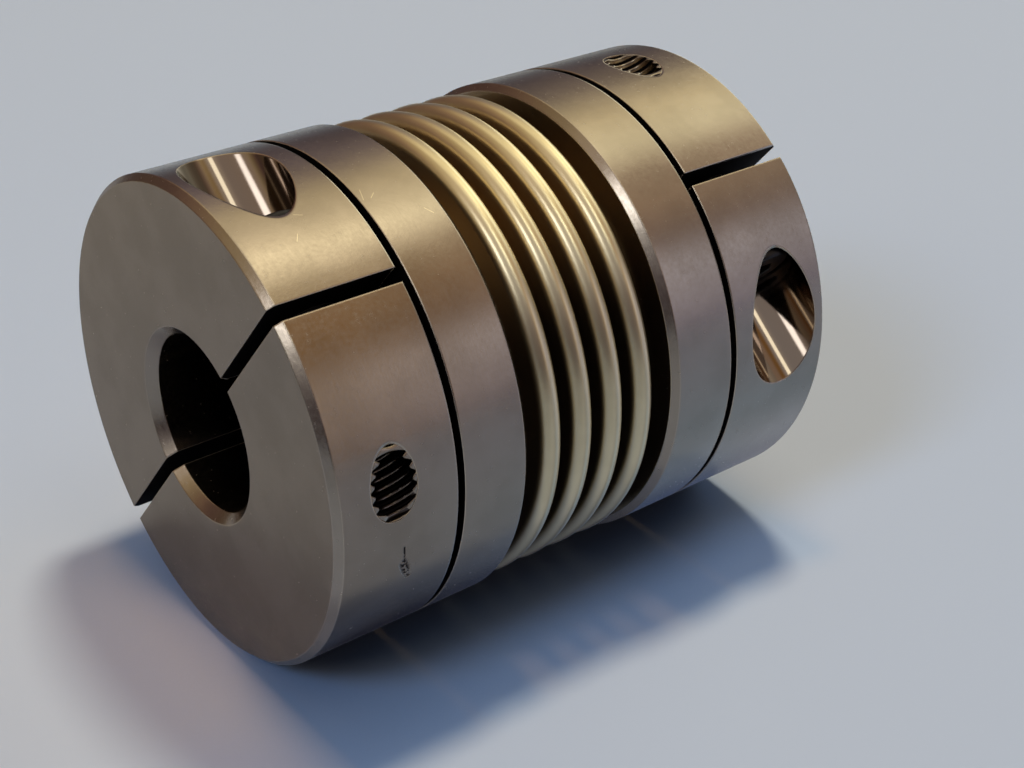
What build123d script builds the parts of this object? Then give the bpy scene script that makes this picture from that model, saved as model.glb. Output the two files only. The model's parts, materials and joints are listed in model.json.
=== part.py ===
from build123d import *
import os

# Bellows coupling: two clamp hubs joined by a metal bellows, all sizes in millimetres.
# The coupling stands on the end face of its lower hub.  Its axis is +Z, and both hubs
# are slit along the plane x = 0, so each clamp screw lies along X.

# ---- Driving dimensions -------------------------------------------------------------

# Hubs
hub_diameter = 60.0
hub_length = 26.0        # outer end face to inner face
edge_chamfer = 0.8       # on both outer edges of a hub
bore_diameter = 22.0     # shaft seat
bore_chamfer = 1.2       # at the outer end face
inner_bore_chamfer = 0.5 # at the spigot's end

# Saw cuts that free the clamping jaws
slot_width = 1.8         # slit along the axis, right across the hub
cut_distance = 15.8      # end face to the cross cut
cut_width = 1.0          # cross cut, square to the axis
hinge_height = 12.5      # uncut metal behind the cross cut, measured in from the rim

# Clamp screws: socket head, metric
screw_diameter = 6.0
screw_length = 16.0      # below the head
head_diameter = 10.0
head_height = 6.0
key_size = 5.0           # hexagon, across its flats
key_depth = 3.2
drill_cone_depth = 0.8   # cone below the hexagon
head_edge = 0.5          # rounded edge on top of the head
tip_chamfer = 0.8
head_clearance = 0.5     # all round between the head and its pocket
pass_clearance = 0.3     # all round between the screw and the hole below its seat
thread_clearance = 0.05  # all round between the screw and its tapped hole
screw_edge_distance = 7.6  # screw axis in from the hub's rim
screw_setback = 7.6      # screw axis in from the end face
seat_distance = 6.0      # middle of the slit to the seat under the head

# Bellows
convolutions = 4
convolution_pitch = 4.65
convolution_depth = 7.5  # crest to root, on the outer face
crest_width = 2.8
bellows_wall = 0.5
bellows_inset = 0.5      # crests lie this far inside the hubs' rims
cuff_length = 1.7        # straight collar at each end
spigot_length = 2.0      # boss on the hub that carries the collar
bond_gap = 0.05          # all round between the collar and its spigot

# ---- Derived sizes ------------------------------------------------------------------

hub_radius = hub_diameter / 2
bore_radius = bore_diameter / 2

crest_radius = crest_width / 2
root_radius = (convolution_pitch - crest_width) / 2
bellows_radius = hub_radius - bellows_inset
collar_radius = bellows_radius - convolution_depth      # outer face of the collars
flank_length = convolution_depth - crest_radius - root_radius
bellows_length = (
    (convolutions - 1) * convolution_pitch + crest_width + 2 * (root_radius + cuff_length)
)
spigot_radius = collar_radius - bellows_wall - bond_gap
overall_length = 2 * hub_length + bellows_length

screw_offset = hub_radius - screw_edge_distance         # coupling axis to screw axis
tapped_radius = screw_diameter / 2
pass_radius = tapped_radius + pass_clearance
pocket_radius = head_diameter / 2 + head_clearance
shank_radius = tapped_radius - thread_clearance
hinge_plane = hub_radius - hinge_height                 # cross cut ends at this y

# Screw hole of the lower hub: the head's side faces -X and the tapped side faces +X.
head_side = Plane(origin=(-hub_radius, -screw_offset, screw_setback), z_dir=(-1, 0, 0))
tapped_side = Plane(origin=(hub_radius, -screw_offset, screw_setback), z_dir=(1, 0, 0))
screw_seat = Plane(origin=(-seat_distance, -screw_offset, screw_setback), z_dir=(-1, 0, 0))

# ---- Lower hub ----------------------------------------------------------------------

with BuildPart() as lower_hub:
    # Turned blank with its spigot
    with BuildSketch(Plane.XZ):
        with BuildLine():
            Polyline(
                (bore_radius + bore_chamfer, 0),
                (hub_radius - edge_chamfer, 0),
                (hub_radius, edge_chamfer),
                (hub_radius, hub_length - edge_chamfer),
                (hub_radius - edge_chamfer, hub_length),
                (spigot_radius, hub_length),
                (spigot_radius, hub_length + spigot_length),
                (bore_radius + inner_bore_chamfer, hub_length + spigot_length),
                (bore_radius, hub_length + spigot_length - inner_bore_chamfer),
                (bore_radius, bore_chamfer),
                close=True,
            )
        make_face()
    revolve(axis=Axis.Z)

    # Slit along the axis, from the end face into the cross cut
    with BuildSketch(Plane.XY):
        Rectangle(slot_width, hub_diameter)
    extrude(amount=cut_distance + cut_width, mode=Mode.SUBTRACT)

    # Cross cut: it passes the bore and leaves a hinge on the far side
    with BuildSketch(Plane.XY.offset(cut_distance)):
        with Locations((0, hinge_plane)):
            Rectangle(hub_diameter, hub_diameter, align=(Align.CENTER, Align.MAX))
    extrude(amount=cut_width, mode=Mode.SUBTRACT)

    # Counterbored screw hole on one jaw, tapped hole on the other
    with Locations(head_side):
        CounterBoreHole(
            radius=pass_radius,
            counter_bore_radius=pocket_radius,
            counter_bore_depth=hub_radius - seat_distance,
            depth=hub_radius,
        )
    with Locations(tapped_side):
        Hole(radius=tapped_radius, depth=hub_radius)

lower_hub.part.label = "lower_hub"

# ---- Upper hub ----------------------------------------------------------------------

# The same hub, given a half turn about the line through the middle of the slit.
with BuildPart() as upper_hub:
    with Locations((0, 0, overall_length)):
        add(lower_hub.part, rotation=(0, 180, 0))

upper_hub.part.label = "upper_hub"

# ---- Bellows ------------------------------------------------------------------------


def wall_line(inset):
    """Draw the wall's section from collar to collar, at a depth below its outer face."""
    root = root_radius + inset
    crest = crest_radius - inset
    line = Line((collar_radius - inset, hub_length), (collar_radius - inset, hub_length + cuff_length))
    line = JernArc(line @ 1, line % 1, root, -90)
    for wave in range(convolutions):
        line = PolarLine(line @ 1, flank_length, direction=line % 1)
        line = JernArc(line @ 1, line % 1, crest, 180)
        line = PolarLine(line @ 1, flank_length, direction=line % 1)
        last = wave == convolutions - 1
        line = JernArc(line @ 1, line % 1, root, -90 if last else -180)
    line = PolarLine(line @ 1, cuff_length, direction=line % 1)
    return line @ 1


with BuildPart() as bellows:
    with BuildSketch(Plane.XZ):
        with BuildLine():
            outer_end = wall_line(0)
            inner_end = wall_line(bellows_wall)
            Line((collar_radius - bellows_wall, hub_length), (collar_radius, hub_length))
            Line(inner_end, outer_end)
        make_face()
    revolve(axis=Axis.Z)

bellows.part.label = "bellows"

# ---- Clamp screws -------------------------------------------------------------------

with BuildPart() as lower_clamp_screw:
    # Head on its seat, then the shank through the slit into the tapped hole
    with BuildSketch(screw_seat):
        Circle(head_diameter / 2)
    extrude(amount=head_height)
    top_rim = faces().sort_by(Axis.X)[0].outer_wire().edges()
    fillet(top_rim, radius=head_edge)
    with BuildSketch(screw_seat):
        Circle(shank_radius)
    extrude(amount=-screw_length)
    tip_rim = faces().sort_by(Axis.X)[-1].outer_wire().edges()
    chamfer(tip_rim, length=tip_chamfer)

    # Hexagon socket with the drill's cone at its bottom
    with BuildSketch(screw_seat.offset(head_height)):
        RegularPolygon(radius=key_size / 2, side_count=6, major_radius=False)
    extrude(amount=-key_depth, mode=Mode.SUBTRACT)
    with Locations(screw_seat.offset(head_height - key_depth - drill_cone_depth / 2)):
        Cone(
            bottom_radius=0,
            top_radius=key_size / 2,
            height=drill_cone_depth,
            mode=Mode.SUBTRACT,
        )

lower_clamp_screw.part.label = "lower_clamp_screw"

with BuildPart() as upper_clamp_screw:
    with Locations((0, 0, overall_length)):
        add(lower_clamp_screw.part, rotation=(0, 180, 0))

upper_clamp_screw.part.label = "upper_clamp_screw"

# ---- Export -------------------------------------------------------------------------

os.makedirs("parts", exist_ok=True)
export_step(lower_hub.part, "parts/lower_hub.step")
export_step(upper_hub.part, "parts/upper_hub.step")
export_step(bellows.part, "parts/bellows.step")
export_step(lower_clamp_screw.part, "parts/lower_clamp_screw.step")
export_step(upper_clamp_screw.part, "parts/upper_clamp_screw.step")
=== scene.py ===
# %% [markdown]
# # A bellows coupling
#
# Two steel clamp hubs are joined by a thin metal bellows.  Each hub is slit right across
# its end, and a cross cut behind the slit frees two jaws, which a socket-head screw pulls
# together on a shaft.  This lesson gives the solid model its finishes, winds real threads
# into the two tapped holes, and lights it all on a pale table.

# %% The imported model
import json
from math import cos, pi, radians, sin

import bpy
from mathutils import Matrix, Vector


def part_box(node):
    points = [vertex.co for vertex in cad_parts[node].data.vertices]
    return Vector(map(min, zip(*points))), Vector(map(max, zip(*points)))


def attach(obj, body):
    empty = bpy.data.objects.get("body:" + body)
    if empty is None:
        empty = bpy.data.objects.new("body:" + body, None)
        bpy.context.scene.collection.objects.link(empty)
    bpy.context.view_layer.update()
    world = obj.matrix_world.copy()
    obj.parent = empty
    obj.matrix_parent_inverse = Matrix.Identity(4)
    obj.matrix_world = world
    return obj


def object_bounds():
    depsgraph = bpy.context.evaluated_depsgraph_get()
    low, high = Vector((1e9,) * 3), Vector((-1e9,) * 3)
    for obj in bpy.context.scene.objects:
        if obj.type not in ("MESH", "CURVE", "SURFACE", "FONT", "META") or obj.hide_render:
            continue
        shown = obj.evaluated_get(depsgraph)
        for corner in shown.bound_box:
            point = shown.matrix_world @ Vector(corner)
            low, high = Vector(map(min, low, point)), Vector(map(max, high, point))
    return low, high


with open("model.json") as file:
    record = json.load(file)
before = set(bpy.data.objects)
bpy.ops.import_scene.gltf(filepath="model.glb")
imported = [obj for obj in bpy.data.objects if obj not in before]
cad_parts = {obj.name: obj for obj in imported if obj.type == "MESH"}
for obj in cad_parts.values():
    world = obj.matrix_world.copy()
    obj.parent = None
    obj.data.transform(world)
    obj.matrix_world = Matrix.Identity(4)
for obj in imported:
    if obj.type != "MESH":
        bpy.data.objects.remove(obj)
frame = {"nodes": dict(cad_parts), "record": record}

cad_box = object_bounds()
nodes = frame["nodes"]
print("solid model:", ", ".join(sorted(nodes)))

# %% [markdown]
# ## Sizes
#
# Blender works in metres and a machinist in millimetres, so one name turns the second
# into the first.  Places come from the boxes of the solid model's nodes.  Only the sizes
# that a box can't tell, such as the width of the slit, are written here.

# %% Sizes of the coupling
mm = 0.001

base, top = cad_box[0].z, cad_box[1].z
middle = (cad_box[0] + cad_box[1]) / 2
hub_radius = cad_box[1].x
bore_radius = frame["record"]["mounts"][0]["dims"]["r_mm"] * mm
slit_width = 1.8 * mm
cut_distance = 15.8 * mm
cut_width = 1.0 * mm
pocket_radius = 5.5 * mm
tapped_radius = 3.0 * mm
screw_end = 10.0 * mm
thread_pitch = 1.0 * mm
thread_depth = 0.55 * mm
margin = 0.02 * mm  # a wall is found within this distance of its true place
rim_depth = 0.05 * mm  # and the round side within this one

screw_places = {}
for hub in ("lower", "upper"):
    low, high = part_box(hub + "_clamp_screw")
    screw_places[hub] = (low + high) / 2
tapped_sides = (("lower", 1), ("upper", -1))  # each tapped hole opens towards this side
screw_line = screw_places["upper"].y
screw_setback = top - screw_places["upper"].z
print("clamp screws at y =", round(screw_line / mm, 2), "mm")

# %% [markdown]
# ## Directions
#
# Everything around the coupling is placed by two angles: how far round it, counted from
# the front, and how high.  One function turns them into an arrow away from the coupling.
# The coupling lies on its side on the table, so "up" from the table is one such arrow.


# %% Directions round the coupling
def toward(around, above=0):
    """Unit arrow from the coupling, around degrees from the front and above the level."""
    a, e = radians(around), radians(above)
    return Vector((sin(a) * cos(e), -cos(a) * cos(e), sin(e)))


table_side = 41.0
table_normal = toward(table_side)

# %% [markdown]
# ## Camera
#
# The coupling is looked at as it lies on its side: the camera stands in front and above,
# and is rolled until the coupling's axis runs across the picture.  The solid model stands
# upright and stays so, which keeps every node where the frame has it: turning the camera
# and the table does the same for the eye.

# %% The camera
camera_data = bpy.data.cameras.new("camera")
camera_data.sensor_width = 36.0
camera_data.lens = 61.5
camera_data.clip_start = 0.01
camera = bpy.data.objects.new("camera", camera_data)
bpy.context.scene.collection.objects.link(camera)
bpy.context.scene.camera = camera

camera_aim = Vector((-9.0, -1.0, 33.0)) * mm
camera_side = toward(-13.1, 32.6)
camera_distance = 223 * mm
camera_roll = -111.0
look = (-camera_side).to_track_quat("-Z", "Y").to_matrix()
roll = Matrix.Rotation(radians(camera_roll), 3, "Z")
camera.rotation_euler = (look @ roll).to_euler()
camera.location = camera_aim + camera_side * camera_distance
print("camera at", tuple(round(v / mm) for v in camera.location), "mm")

# %% [markdown]
# ## Shader sums in plain Python
#
# A material is a graph of small nodes.  Long sums are easier to read as Python, so a
# shader value is wrapped in a class whose operators add the Math nodes.  Every other node
# comes from one method, which takes the node's type, its settings and its values.


# %% A shader value with operators
class Signal:
    """One output of a node.  Python's operators on it add Math nodes."""

    def __init__(self, graph, socket):
        self.graph = graph
        self.socket = socket

    def math(self, operation, *values):
        return self.graph.node("ShaderNodeMath", {"operation": operation}, dict(enumerate(values)))

    def __add__(self, other):
        return self.math("ADD", self, other)

    def __sub__(self, other):
        return self.math("SUBTRACT", self, other)

    def __rsub__(self, other):
        return self.math("SUBTRACT", other, self)

    def __mul__(self, other):
        return self.math("MULTIPLY", self, other)

    def __truediv__(self, other):
        return self.math("DIVIDE", self, other)

    def __pow__(self, other):
        return self.math("POWER", self, other)

    def __lt__(self, other):
        return self.math("LESS_THAN", self, other)

    def __gt__(self, other):
        return self.math("GREATER_THAN", self, other)

    def __abs__(self):
        return self.math("ABSOLUTE", self)

    __radd__ = __add__
    __rmul__ = __mul__


# %% The graph of a material
class Graph:
    """The nodes of one material or of the world."""

    def __init__(self, tree):
        self.tree = tree
        tree.nodes.clear()

    def node(self, kind, settings=None, values=None, output=0):
        """Add a node: its settings first, then a value or a link for each named socket."""
        made = self.tree.nodes.new(kind)
        for name, value in (settings or {}).items():
            if name == "stops":
                elements = made.color_ramp.elements
                while len(elements) < len(value):
                    elements.new(0.5)
                for element, (position, colour) in zip(elements, value):
                    element.position = position
                    element.color = (*colour, 1)
            else:
                setattr(made, name, value)
        for name, value in (values or {}).items():
            if isinstance(value, Signal):
                self.tree.links.new(value.socket, made.inputs[name])
            elif value is not None:
                made.inputs[name].default_value = value
        return Signal(self, made.outputs[output]) if made.outputs else None

    def position(self):
        return self.node("ShaderNodeTexCoord", output="Object")

    def split(self, vector):
        """The three numbers of a vector."""
        parts = self.node("ShaderNodeSeparateXYZ", values={0: vector}).socket.node
        return [Signal(self, out) for out in parts.outputs]

    def join(self, x, y, z):
        return self.node("ShaderNodeCombineXYZ", values={0: x, 1: y, 2: z})

    def dot(self, first, second):
        """How far one vector runs along the other."""
        if not isinstance(second, Signal):
            second = tuple(second)
        settings = {"operation": "DOT_PRODUCT"}
        return self.node("ShaderNodeVectorMath", settings, {0: first, 1: second}, "Value")

    def angle(self, up, across):
        """Angle in radians of a point that lies across and up."""
        return self.node("ShaderNodeMath", {"operation": "ARCTAN2"}, {0: up, 1: across})

    def smooth(self, value, start, end, low=0.0, high=1.0):
        """Rise smoothly from low to high as the value goes from start to end."""
        return self.node(
            "ShaderNodeMapRange",
            {"interpolation_type": "SMOOTHSTEP"},
            {0: value, 1: start, 2: end, 3: low, 4: high},
        )

    def noise(self, vector, scale, detail=2.0, roughness=0.5):
        return self.node(
            "ShaderNodeTexNoise",
            values={"Vector": vector, "Scale": scale, "Detail": detail, "Roughness": roughness},
        )

    def blend(self, share, first, second):
        """Mix two colours."""
        made = self.node("ShaderNodeMix", {"data_type": "RGBA"}, {0: share}).socket.node
        for slot, value in ((6, first), (7, second)):
            if isinstance(value, Signal):
                self.tree.links.new(value.socket, made.inputs[slot])
            else:
                made.inputs[slot].default_value = (*value, 1)
        return Signal(self, made.outputs[2])

    def larger(self, first, second):
        return self.node("ShaderNodeMath", {"operation": "MAXIMUM"}, {0: first, 1: second})

    def smaller(self, first, second):
        return self.node("ShaderNodeMath", {"operation": "MINIMUM"}, {0: first, 1: second})

    def from_axis(self, x, y):
        """Distance from the coupling's axis."""
        return (x * x + y * y) ** 0.5


def new_material(name):
    material = bpy.data.materials.new(name)
    material.use_nodes = True
    return material, Graph(material.node_tree)


# %% [markdown]
# ## One ending for every metal
#
# A machined part has no perfectly sharp edge: each one is broken with a file, and that
# thin rounding catches the light.  It could be cut into the mesh, but the solid model's
# shape stays as it is, so a Bevel node rounds the shading of every edge.  Where its normal
# leaves the true one there is an edge, and a paler colour is painted along it: a painted
# highlight.  The Bump node adds the tool marks on top.


# %% The metal shader
edge_rounding = 0.28 * mm
edge_starts, edge_full = 0.97, 0.92  # how far the rounded normal agrees with the true one


def round_and_highlight_edges(g, colour, highlight_colour):
    """The rounded normal, and the colour with a painted highlight along every edge."""
    rounded = g.node("ShaderNodeBevel", {"samples": 8}, {"Radius": edge_rounding})
    true = g.node("ShaderNodeNewGeometry", output="Normal")
    on_edge = g.smooth(g.dot(rounded, true), edge_starts, edge_full)
    return rounded, g.blend(on_edge, colour, highlight_colour)


def finish_metal(g, colour, roughness, height, depth, normal=None):
    """End a metal's graph: tool marks of the given depth, one shader."""
    tooled = g.node(
        "ShaderNodeBump",
        values={"Height": height, "Distance": depth, "Strength": 1.0, "Normal": normal},
    )
    shader = g.node(
        "ShaderNodeBsdfPrincipled",
        values={"Base Color": colour, "Roughness": roughness, "Metallic": 1.0, "Normal": tooled},
    )
    g.node("ShaderNodeOutputMaterial", values={"Surface": shader})


# %% [markdown]
# ## Turned steel
#
# The hubs are turned from steel bar and left bare, so they have a warm grey satin skin.
# The tool leaves hair-fine marks round the axis, and handling leaves a few short scratches
# and one dark dent.  The inside of every bore, saw cut, tapped hole and screw pocket is
# painted darker: painted shade, darkest deep in the bore and in the cuts.
# A picture of brushed metal could be wrapped round the hub, but it would stretch on the
# chamfers.  All the marks follow the axis, so the pattern is laid out in radius, turn and
# height instead.


# %% The steel's hidden faces
# the cuts' painted shade stops this far below the round side
upper_lip, lower_lip = 0.06 * mm, 0.46 * mm  # clean steel where a cut meets the round side
# how far the painted shade in a pocket fades in
pocket_shade_fade = 1.4 * mm


def round_hole(x, y, z, hub, side, hole_radius):
    """1 inside a hole along a hub's clamp screw, on one side of the slit."""
    place = screw_places[hub]
    off_axis = ((y - place.y) ** 2 + (z - place.z) ** 2) ** 0.5
    return (off_axis < hole_radius + margin) * (x * side > 0)


def saw_cuts(g, x, y, z, radius):
    """1 on the walls of the saw cuts and of the tapped holes."""
    lip = upper_lip + (z < middle.z) * (lower_lip - upper_lip)
    below_rim = radius < (hub_radius - lip)
    from_end = g.smaller(abs(z - base), abs(z - top))
    slit = (abs(x) < slit_width / 2 + margin) * (from_end < cut_distance + cut_width)
    cross_cut = abs(from_end - (cut_distance + cut_width / 2)) < cut_width / 2 + margin
    inside = g.larger(slit, cross_cut) * below_rim
    for hub, side in tapped_sides:
        inside = g.larger(inside, round_hole(x, y, z, hub, side, tapped_radius))
    return inside


def pocket_walls(g, x, y, z):
    """1 on the walls of the two screw pockets, which open opposite the tapped holes."""
    first, second = [round_hole(x, y, z, hub, -side, pocket_radius) for hub, side in tapped_sides]
    return g.larger(first, second)


def pocket_shade(g, y, z):
    """A pocket's wall, painted darker than the outer steel as painted shade, and darker still in
    the upper hub's, towards the end face.
    """
    towards_end = g.smooth(top - z, screw_setback, screw_setback - pocket_shade_fade) * (z > middle.z)
    inner = g.smooth(y, screw_line, screw_line + 1.0 * mm)
    return g.blend(towards_end * inner, (0.35, 0.29, 0.24), (0.06, 0.045, 0.035))


# %% Marks left by handling
def stroke(g, around, height, start, end, width):
    """1 on a straight scratch.  Both ends are (around the rim, height), all in metres."""
    run, rise = end[0] - start[0], end[1] - start[1]
    across, up = around - start[0], height - start[1]
    share = (across * run + up * rise) / (run * run + rise * rise)
    share = g.smaller(g.larger(share, 0), 1)
    gap = ((across - share * run) ** 2 + (up - share * rise) ** 2) ** 0.5
    return g.smooth(gap, width * 0.3, width, 1.0, 0.0)


def marks(g, around, height, strokes):
    """The strokes together.  Each is two ends and a width, in millimetres."""
    found = None
    for start, end, width in strokes:
        start = (start[0] * mm, start[1] * mm)
        end = (end[0] * mm, end[1] * mm)
        one = stroke(g, around, height, start, end, width * mm)
        found = one if found is None else g.larger(found, one)
    return found


nick = [
    ((-77.2, 65.3), (-79.4, 65.1), 0.20),
    ((-79.6, 65.2), (-81.0, 64.7), 0.75),
    ((-81.2, 64.7), (-81.9, 64.3), 0.60),
]
scratches = [
    ((-35.4, 56.2), (-37.0, 56.7), 0.06),
    ((-36.4, 55.0), (-37.0, 55.7), 0.07),
    ((-40.4, 50.8), (-41.4, 50.1), 0.06),
    ((-38.9, 66.3), (-39.8, 66.9), 0.05),
    ((-36.2, 65.2), (-36.6, 64.3), 0.05),
]


# %% Turned steel
def turned_steel():
    material, g = new_material("turned_steel")
    x, y, z = g.split(g.position())
    radius = g.from_axis(x, y)
    turn = g.angle(y, x)

    # hair-fine marks round the axis, and an even grain over everything
    lathe = g.join(radius, turn * (1.2 * mm), z)
    hairs = g.noise(lathe, 4200, 2, 0.6)
    grain = g.noise(g.position(), 3600, 3, 0.65)
    mottle = g.noise(g.position(), 2000, 2, 0.5)
    ragged = g.noise(g.position(), 1400, 3, 0.6)
    cloud = g.noise(g.position(), 130, 3, 0.6)

    # clean skin, then painted shade in the pockets, in the bore (darker inwards), and in the cuts
    # and tapped holes
    cuts = saw_cuts(g, x, y, z, radius)
    bore = radius < bore_radius + margin
    pocket = pocket_walls(g, x, y, z) * (1 - cuts)
    clean = g.blend(g.smooth(cloud, 0.35, 0.65), (0.44, 0.385, 0.32), (0.50, 0.44, 0.37))
    colour = g.blend(pocket, clean, pocket_shade(g, y, z))
    how_deep = g.smooth(g.smaller(z - base, top - z), 2 * mm, 9 * mm)
    inside = g.blend(how_deep, (0.36, 0.30, 0.24), (0.05, 0.042, 0.045))
    colour = g.blend(bore, colour, inside)
    colour = g.blend(cuts, colour, (0.012, 0.010, 0.011))

    # handling marks lie on the round side only
    on_rim = radius > hub_radius - rim_depth
    nicked = marks(g, turn * hub_radius, z, nick) * on_rim * g.smooth(ragged, 0.42, 0.50)
    scratched = marks(g, turn * hub_radius, z, scratches) * on_rim
    colour = g.blend(nicked, colour, (0.03, 0.027, 0.027))
    colour = g.blend(scratched, colour, (0.76, 0.68, 0.54))

    # a pocket's wall is smoother than the outside, and a cut's much rougher
    satin = 0.08 + hairs * 0.06 + mottle * 0.22 + nicked * 0.4
    roughness = g.larger(satin * (1 - pocket * 0.6), cuts * 0.8)
    height = (grain * 0.6 + hairs * 1.0 + mottle * 1.8) * (1 - pocket) - nicked * 20
    # painted highlight: a paler steel colour along every edge
    rounded, colour = round_and_highlight_edges(g, colour, (0.72, 0.64, 0.53))
    finish_metal(g, colour, roughness, height, 0.0035 * mm, rounded)
    return material


steel = turned_steel()
for name in ("lower_hub", "upper_hub"):
    nodes[name].material_slots[0].material = steel
print("steel nodes:", len(steel.node_tree.nodes))

# %% [markdown]
# ## Bellows metal
#
# The bellows is formed from a thin tube with a pale gold tone.  Its marks run round the
# axis too.  Its deep folds are painted darker as painted shade, and the folds on the side
# next to the table darker still, as painted shade.  Shading from nearness could darken the
# folds too, but the radius and the height above the table say exactly where it is painted.


# %% Bellows metal
def pale_gold_metal():
    material, g = new_material("pale_gold_metal")
    x, y, z = g.split(g.position())
    radius = g.from_axis(x, y)
    lathe = g.join(radius, g.angle(y, x) * (1.5 * mm), z)
    hairs = g.noise(lathe, 3600, 2, 0.6)
    cloud = g.noise(g.position(), 110, 3, 0.6)

    crest = g.blend(g.smooth(cloud, 0.35, 0.65), (0.90, 0.80, 0.54), (0.97, 0.87, 0.60))
    # painted shade: the folds darker than the crests, darkest on the side next to the table
    above_axis = x * table_normal.x + y * table_normal.y
    shade_towards_table = g.smooth(above_axis, 24 * mm, 8 * mm)
    shaded_fold = g.blend(shade_towards_table, (0.64, 0.50, 0.32), (0.22, 0.17, 0.11))
    raised = g.smooth(radius, 27.9 * mm, 29.3 * mm)
    colour = g.blend(raised, shaded_fold, crest)
    finish_metal(g, colour, 0.36 - raised * 0.08 + hairs * 0.06, hairs, 0.002 * mm)
    return material


nodes["bellows"].material_slots[0].material = pale_gold_metal()


# %% [markdown]
# ## Black screws
#
# The socket-head screws are hardened and blackened, so they are dark with a soft shine.
# The oxide takes unevenly, so two near-blacks are mixed by a fine noise: one flat black
# would look like plastic.  A paler line along their edges is a painted highlight.


# %% Blackened steel
def black_oxide():
    material, g = new_material("black_oxide")
    cloud = g.noise(g.position(), 600, 3, 0.6)
    colour = g.blend(cloud, (0.025, 0.025, 0.028), (0.06, 0.058, 0.06))
    # painted highlight: a paler black along every edge
    rounded, colour = round_and_highlight_edges(g, colour, (0.14, 0.135, 0.13))
    finish_metal(g, colour, 0.34 + cloud * 0.2, cloud, 0.004 * mm, rounded)
    return material


oxide = black_oxide()
for name in ("lower_clamp_screw", "upper_clamp_screw"):
    nodes[name].material_slots[0].material = oxide

# %% [markdown]
# ## Threads in the tapped holes
#
# The hole opposite each screw head is tapped, and its thread runs out through the round
# side of the hub, which leaves a toothed edge.  A thread is one ridge wound in a helix:
# the ridge's section is drawn once and a Screw modifier winds it round the hole's axis.
# A Boolean with a cylinder of the hub's own radius then trims it flush with the rim.
# Bump alone would leave the hole's edge a smooth oval.


# %% A wound ridge
ridge_width = 0.86 * thread_pitch
crest_share = 0.22  # the crest's width over the root's
root_sunk = 0.03 * mm  # how far the root lies in the hole's wall
rim_clearance = 0.012 * mm  # how far the trimmed end stays inside the round side


def thread_ridge(hub, side):
    """The thread beyond the screw's end, in the hole that opens towards side."""
    turns = round((hub_radius - screw_end) / thread_pitch) + 3
    start = Vector((side * screw_end, screw_line, screw_places[hub].z))
    bpy.ops.object.select_all(action="DESELECT")
    bpy.ops.mesh.primitive_plane_add(size=1, location=start)
    ridge = bpy.context.active_object
    ridge.name = hub + "_tapped_thread"

    # section: root against the wall, narrow crest towards the hole's axis
    bpy.ops.object.mode_set(mode="EDIT")
    bpy.ops.mesh.select_all(action="SELECT")
    bpy.ops.transform.resize(value=(ridge_width, thread_depth, 1))
    bpy.ops.transform.translate(value=(0, tapped_radius + root_sunk - thread_depth / 2, 0))
    bpy.ops.mesh.select_all(action="DESELECT")
    bpy.ops.object.mode_set(mode="OBJECT")
    mid_height = tapped_radius - thread_depth / 2
    for vertex in ridge.data.vertices:
        vertex.select = vertex.co.y < mid_height
    bpy.ops.object.mode_set(mode="EDIT")
    bpy.ops.mesh.select_mode(type="VERT")
    bpy.ops.transform.resize(value=(crest_share, 1, 1))
    bpy.ops.mesh.select_all(action="SELECT")
    bpy.ops.mesh.delete(type="ONLY_FACE")
    bpy.ops.object.mode_set(mode="OBJECT")

    winding = ridge.modifiers.new("winding", "SCREW")
    winding.axis = "X"
    winding.screw_offset = side * thread_pitch
    winding.iterations = turns
    winding.steps = 32
    winding.render_steps = 32
    bpy.ops.object.modifier_apply(modifier="winding")
    bpy.ops.object.transform_apply(location=True, rotation=True, scale=True)
    bpy.ops.object.mode_set(mode="EDIT")
    bpy.ops.mesh.select_all(action="SELECT")
    bpy.ops.mesh.fill_holes(sides=4)
    bpy.ops.mesh.select_all(action="SELECT")
    bpy.ops.mesh.normals_make_consistent(inside=False)
    bpy.ops.object.mode_set(mode="OBJECT")
    return ridge


# %% Trimmed flush with the rim
def trim_to_rim(ridge):
    """Cut off the turns that stand out of the hub's round side."""
    bpy.ops.object.select_all(action="DESELECT")
    bpy.ops.mesh.primitive_cylinder_add(
        vertices=360, radius=hub_radius - rim_clearance, depth=top - base, location=middle
    )
    rim = bpy.context.active_object
    trim = ridge.modifiers.new("trim", "BOOLEAN")
    trim.operation = "INTERSECT"
    trim.object = rim
    bpy.context.view_layer.objects.active = ridge
    bpy.ops.object.modifier_apply(modifier="trim")
    bpy.data.objects.remove(rim)
    bpy.ops.object.select_all(action="DESELECT")
    ridge.select_set(True)
    bpy.ops.object.shade_smooth_by_angle(angle=radians(30))


# %% Bright teeth, flanks painted with shade
def cut_thread():
    material, g = new_material("cut_thread")
    x, y, z = g.split(g.position())
    cloud = g.noise(g.position(), 1500, 2, 0.6)
    rim = g.from_axis(x, y) > hub_radius - rim_depth
    # painted shade: the flanks inside a hole are darker than its teeth, the upper hub's much darker
    shaded_flank = g.blend(z < middle.z, (0.08, 0.066, 0.06), (0.40, 0.35, 0.29))
    colour = g.blend(rim, shaded_flank, (0.46, 0.405, 0.335))
    # painted highlight: a paler colour along every edge of the thread
    rounded, colour = round_and_highlight_edges(g, colour, (0.34, 0.29, 0.24))
    finish_metal(g, colour, 0.14 + cloud * 0.12, cloud, 0.003 * mm, rounded)
    return material


thread_metal = cut_thread()
for hub, side in tapped_sides:
    ridge = thread_ridge(hub, side)
    trim_to_rim(ridge)
    ridge.data.materials.clear()
    ridge.data.materials.append(thread_metal)
    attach(ridge, "root")
    print(ridge.name, "has", len(ridge.data.polygons), "faces")

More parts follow.
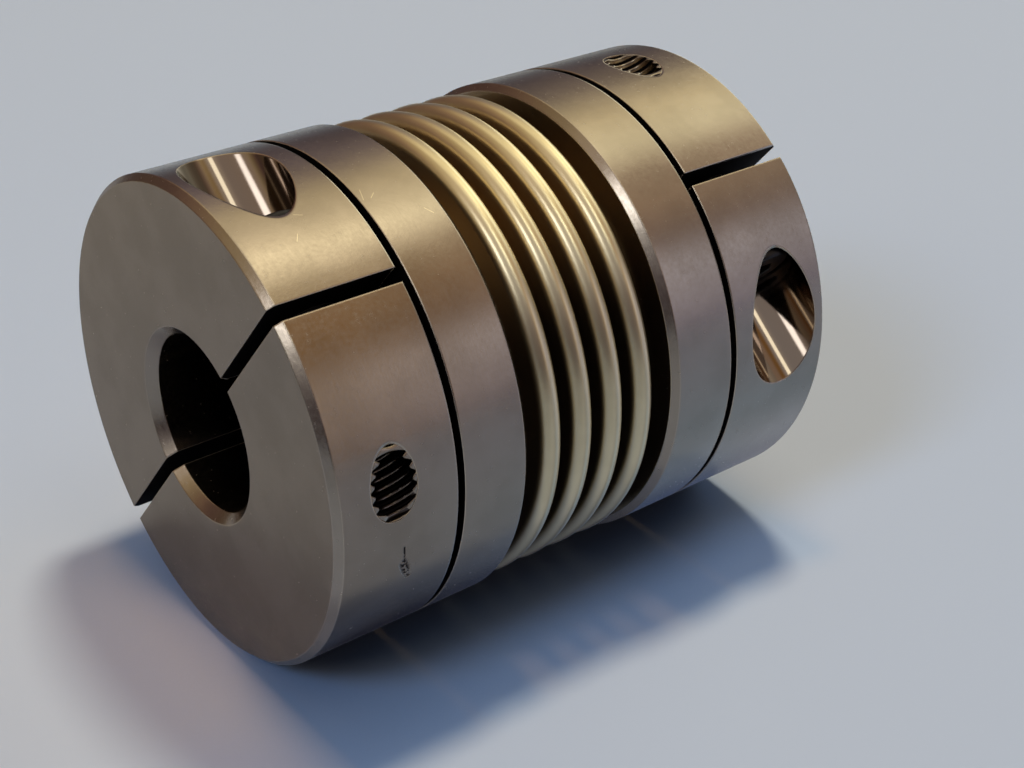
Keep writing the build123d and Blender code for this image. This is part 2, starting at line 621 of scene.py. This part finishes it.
# %% [markdown]
# ## The room
#
# Bare metal shows little but its surroundings, so the room matters as much as the finish.
# It is a plain room: a warm light runs over the table from end to end, a round lamp and a
# thin tube shine beside it, and the walls fall off to soft greys and dark corners.  Real
# panels could stand round the coupling, but rings of colour are simpler to tune.  Each
# ring gives the colours at its height, counted in degrees round the coupling from the
# table's upward direction, and the rings are blended by the height a reflection goes to.


# %% Colours round the room
ring_start = -220  # a ring's first degree, behind the coupling


def round_the_room(g, turn, stops):
    """A ring of colours, each at its degrees from the table's upward direction."""
    placed = [((degrees - ring_start) / 360, colour) for degrees, colour in stops]
    return g.node("ShaderNodeValToRGB", {"stops": placed}, {0: turn})


under_ring = [
    (-205, (0.10, 0.12, 0.18)),
    (-140, (0.16, 0.17, 0.24)),
    (-102, (0.30, 0.28, 0.38)),
    (-64, (0.26, 0.23, 0.25)),
    (-31, (0.32, 0.27, 0.22)),
    (-2, (1.0, 0.9, 0.7)),
    (20, (1.5, 1.5, 1.2)),
    (60, (1.4, 1.35, 1.05)),
    (95, (1.3, 1.2, 0.95)),
    (114, (0.9, 0.85, 0.75)),
    (134, (0.12, 0.11, 0.13)),
]
deep_ring = [
    (-205, (0.08, 0.12, 0.24)),
    (-178, (0.20, 0.28, 0.42)),
    (-150, (0.05, 0.15, 0.28)),
    (-98, (0.05, 0.07, 0.17)),
    (-86, (0.38, 0.36, 0.45)),
    (-60, (0.58, 0.56, 0.64)),
    (-46, (0.28, 0.21, 0.19)),
    (-28, (0.42, 0.30, 0.21)),
    (-10, (0.46, 0.34, 0.25)),
    (5, (1.2, 1.1, 0.75)),
    (28, (1.0, 0.85, 0.52)),
    (41, (0.55, 0.46, 0.32)),
    (53, (0.25, 0.20, 0.17)),
    (79, (0.09, 0.07, 0.08)),
    (104, (0.16, 0.19, 0.21)),
    (138, (0.03, 0.04, 0.06)),
]
low_ring = [
    (-205, (0.00, 0.00, 0.01)),
    (-100, (0.02, 0.01, 0.03)),
    (-88, (0.30, 0.23, 0.18)),
    (-62, (0.44, 0.33, 0.24)),
    (-42, (0.30, 0.17, 0.06)),
    (-28, (0.32, 0.17, 0.06)),
    (-17, (0.46, 0.34, 0.17)),
    (-8, (1.4, 1.2, 0.82)),
    (2, (2.3, 2.05, 1.42)),
    (11, (1.4, 1.2, 0.82)),
    (20, (0.84, 0.71, 0.50)),
    (31, (0.74, 0.62, 0.40)),
    (41, (0.38, 0.30, 0.26)),
    (53, (0.20, 0.16, 0.18)),
    (79, (0.08, 0.06, 0.07)),
    (104, (0.30, 0.36, 0.42)),
    (130, (0.06, 0.07, 0.09)),
]
level_ring = [
    (-205, (0.05, 0.06, 0.09)),
    (-165, (0.12, 0.13, 0.18)),
    (-112, (0.12, 0.13, 0.16)),
    (-84, (0.07, 0.05, 0.05)),
    (-61, (0.14, 0.10, 0.10)),
    (-41, (0.42, 0.40, 0.40)),
    (-20, (0.58, 0.50, 0.42)),
    (0, (0.88, 0.78, 0.58)),
    (28, (0.80, 0.68, 0.45)),
    (48, (0.36, 0.26, 0.16)),
    (66, (0.12, 0.06, 0.05)),
    (92, (0.08, 0.06, 0.06)),
    (118, (0.05, 0.04, 0.05)),
]
high_ring = [
    (-205, (0.05, 0.06, 0.10)),
    (-170, (0.12, 0.14, 0.20)),
    (-145, (0.12, 0.14, 0.18)),
    (-123, (0.07, 0.08, 0.10)),
    (-93, (0.04, 0.03, 0.03)),
    (-64, (0.10, 0.08, 0.09)),
    (-37, (0.40, 0.38, 0.38)),
    (-14, (0.42, 0.34, 0.28)),
    (6, (0.50, 0.40, 0.31)),
    (22, (0.46, 0.36, 0.22)),
    (36, (0.34, 0.25, 0.14)),
    (50, (0.24, 0.15, 0.10)),
    (66, (0.12, 0.07, 0.06)),
    (88, (0.12, 0.08, 0.05)),
    (110, (0.14, 0.10, 0.05)),
    (122, (0.04, 0.03, 0.035)),
    (150, (0.02, 0.03, 0.05)),
]


floor_colour = (0.10, 0.09, 0.09)
ceiling_colour = (0.07, 0.06, 0.055)
tube_middle = -26


# %% The world
def room():
    world = bpy.data.worlds.new("room")
    bpy.context.scene.world = world
    world.use_nodes = True
    g = Graph(world.node_tree)
    direction = g.node("ShaderNodeTexCoord", output="Generated")
    x, y, z = g.split(direction)
    turn = (g.angle(x, y * -1) * (180 / pi) - table_side - ring_start + 360) / 360
    turn = g.node("ShaderNodeMath", {"operation": "FRACT"}, {0: turn})

    # the low ring, and what takes over from it at each height
    walls = round_the_room(g, turn, low_ring)
    for colours, starts, full in (
        (round_the_room(g, turn, deep_ring), -0.42, -0.60),
        (round_the_room(g, turn, under_ring), -0.68, -0.76),
        (floor_colour, -0.90, -0.99),
        (round_the_room(g, turn, level_ring), -0.38, -0.22),
        (round_the_room(g, turn, high_ring), 0.04, 0.24),
        (ceiling_colour, 0.90, 1.00),
    ):
        walls = g.blend(g.smooth(z, starts, full), walls, colours)

    # a round lamp over the table's near end
    near_lamp = g.dot(direction, toward(table_side - 17, 53))
    disc = g.smooth(near_lamp, cos(radians(11)), cos(radians(7)))
    walls = g.blend(disc, walls, (3.2, 3.2, 3.2))

    # a thin level tube beside it, seen in the walls of the screw pockets
    along_tube = abs(turn - (tube_middle - ring_start) / 360) * 360
    tube = g.smooth(along_tube, 10, 14, 1.0, 0.0) * g.smooth(abs(z + 0.08), 0.06, 0.10, 1.0, 0.0)
    walls = g.blend(tube, walls, (2.6, 2.55, 2.1))

    # what the lit metal throws back on the table, and what the table and the camera see
    path = g.node("ShaderNodeLightPath").socket.node
    is_camera = Signal(g, path.outputs["Is Camera Ray"])
    is_diffuse = Signal(g, path.outputs["Is Diffuse Ray"])
    after_table = Signal(g, path.outputs["Diffuse Depth"]) > 0
    is_thrown = Signal(g, path.outputs["Is Glossy Ray"]) * after_table
    above = g.dot(direction, table_normal)
    beside = g.dot(direction, toward(table_side + 90))
    front = g.smooth(z, 0.02, 0.25) * g.smooth(above, 0.0, 0.1) * g.smooth(beside, -0.35, -0.05)
    thrown = g.blend(front, (0.01, 0.01, 0.015), (3.4, 2.7, 2.3))
    seen = g.blend(is_thrown, walls, thrown)
    seen = g.blend(is_diffuse, seen, (0.02, 0.03, 0.05))
    seen = g.blend(is_camera, seen, (0.485, 0.503, 0.515))
    background = g.node("ShaderNodeBackground", values={0: seen, 1: 1.0})
    g.node("ShaderNodeOutputWorld", values={0: background})


room()


# %% [markdown]
# ## The table
#
# The coupling lies on a plain pale table, so the table touches its round side.  It is one
# large sheet that fades out into the background.  The metal mirrors a third of it and two
# thirds of the room behind it, so one setting says how bright its mirror image is.  Close
# to the coupling an Ambient Occlusion node paints the table darker: painted shade.


# %% Pale table
mirrored_share = 0.33
fade_starts, fade_ends = 0.9, 1.1
shade_reach = 14 * mm


def table_paint(centre):
    material, g = new_material("table_paint")
    geometry = g.node("ShaderNodeNewGeometry").socket.node
    underneath = Signal(g, geometry.outputs["Backfacing"])
    path = g.node("ShaderNodeLightPath").socket.node
    is_camera = Signal(g, path.outputs["Is Camera Ray"])
    is_glossy = Signal(g, path.outputs["Is Glossy Ray"])
    offset = g.node("ShaderNodeVectorMath", {"operation": "SUBTRACT"}, {0: g.position(), 1: centre})
    distance = g.node("ShaderNodeVectorMath", {"operation": "LENGTH"}, {0: offset}, output="Value")
    first_bounce = 1 - (Signal(g, path.outputs["Diffuse Depth"]) > 0)
    seen = is_camera + is_glossy * first_bounce * mirrored_share
    shown = g.smooth(distance, fade_starts, fade_ends, 1.0, 0.0) * seen * (1 - underneath)
    # painted shade: darker near the coupling, by Ambient Occlusion
    shade = g.node("ShaderNodeAmbientOcclusion", {"samples": 8}, {"Distance": shade_reach}, "AO")
    paint = g.blend(shade, (0.40, 0.42, 0.47), (0.8, 0.8, 0.8))
    pale = g.node("ShaderNodeBsdfDiffuse", values={0: paint})
    clear = g.node("ShaderNodeBsdfTransparent")
    mixed = g.node("ShaderNodeMixShader", values={0: shown, 1: clear, 2: pale})
    g.node("ShaderNodeOutputMaterial", values={"Surface": mixed})
    return material


table_centre = Vector((0, 0, middle.z)) - table_normal * hub_radius
bpy.ops.object.select_all(action="DESELECT")
bpy.ops.mesh.primitive_plane_add(size=2.4)
table = bpy.context.active_object
table.name = "table"
table_turn = table_normal.to_track_quat("Z", "Y").to_matrix().to_4x4()
table.data.transform(Matrix.Translation(table_centre) @ table_turn)
table.data.materials.append(table_paint(table_centre))

# %% [markdown]
# ## Lamps
#
# A white lamp and a smaller warm one hang over the table, a blue window stands at its near
# end and a wide patch of sky at its far end.  Each throws its own shadow, so the shadow
# has a dark heart and soft blue edges.  The metal doesn't mirror them, because the room's
# own colours already hold what it mirrors.


# %% Lamps over the table
lamp_distance = 1.4


def lamp_over_table(name, around, above, size, watts, colour):
    """A round lamp in a direction counted from the table's upward one."""
    data = bpy.data.lights.new(name, "AREA")
    data.shape = "DISK"
    data.size = size
    data.energy = watts
    data.color = colour
    lamp = bpy.data.objects.new(name, data)
    bpy.context.scene.collection.objects.link(lamp)
    way = toward(table_side + around, above)
    lamp.location = middle + way * lamp_distance
    lamp.rotation_euler = way.to_track_quat("Z", "Y").to_euler()
    lamp.visible_glossy = False


lamp_over_table("main_lamp", 7, -15, 0.24, 6.8, (0.95, 1.0, 0.93))
lamp_over_table("warm_lamp", 8, -0.5, 0.20, 2.0, (1.0, 0.62, 0.25))
lamp_over_table("window", -16, 45, 0.40, 4.2, (0.21, 0.46, 1.0))
lamp_over_table("far_sky", -20, -50, 1.00, 2.4, (0.17, 0.44, 1.0))

# %% [markdown]
# ## Closing
#
# The view transform is the plain one, so colours come out as they are written.

# %% Closing
bpy.context.scene.view_settings.view_transform = "Standard"
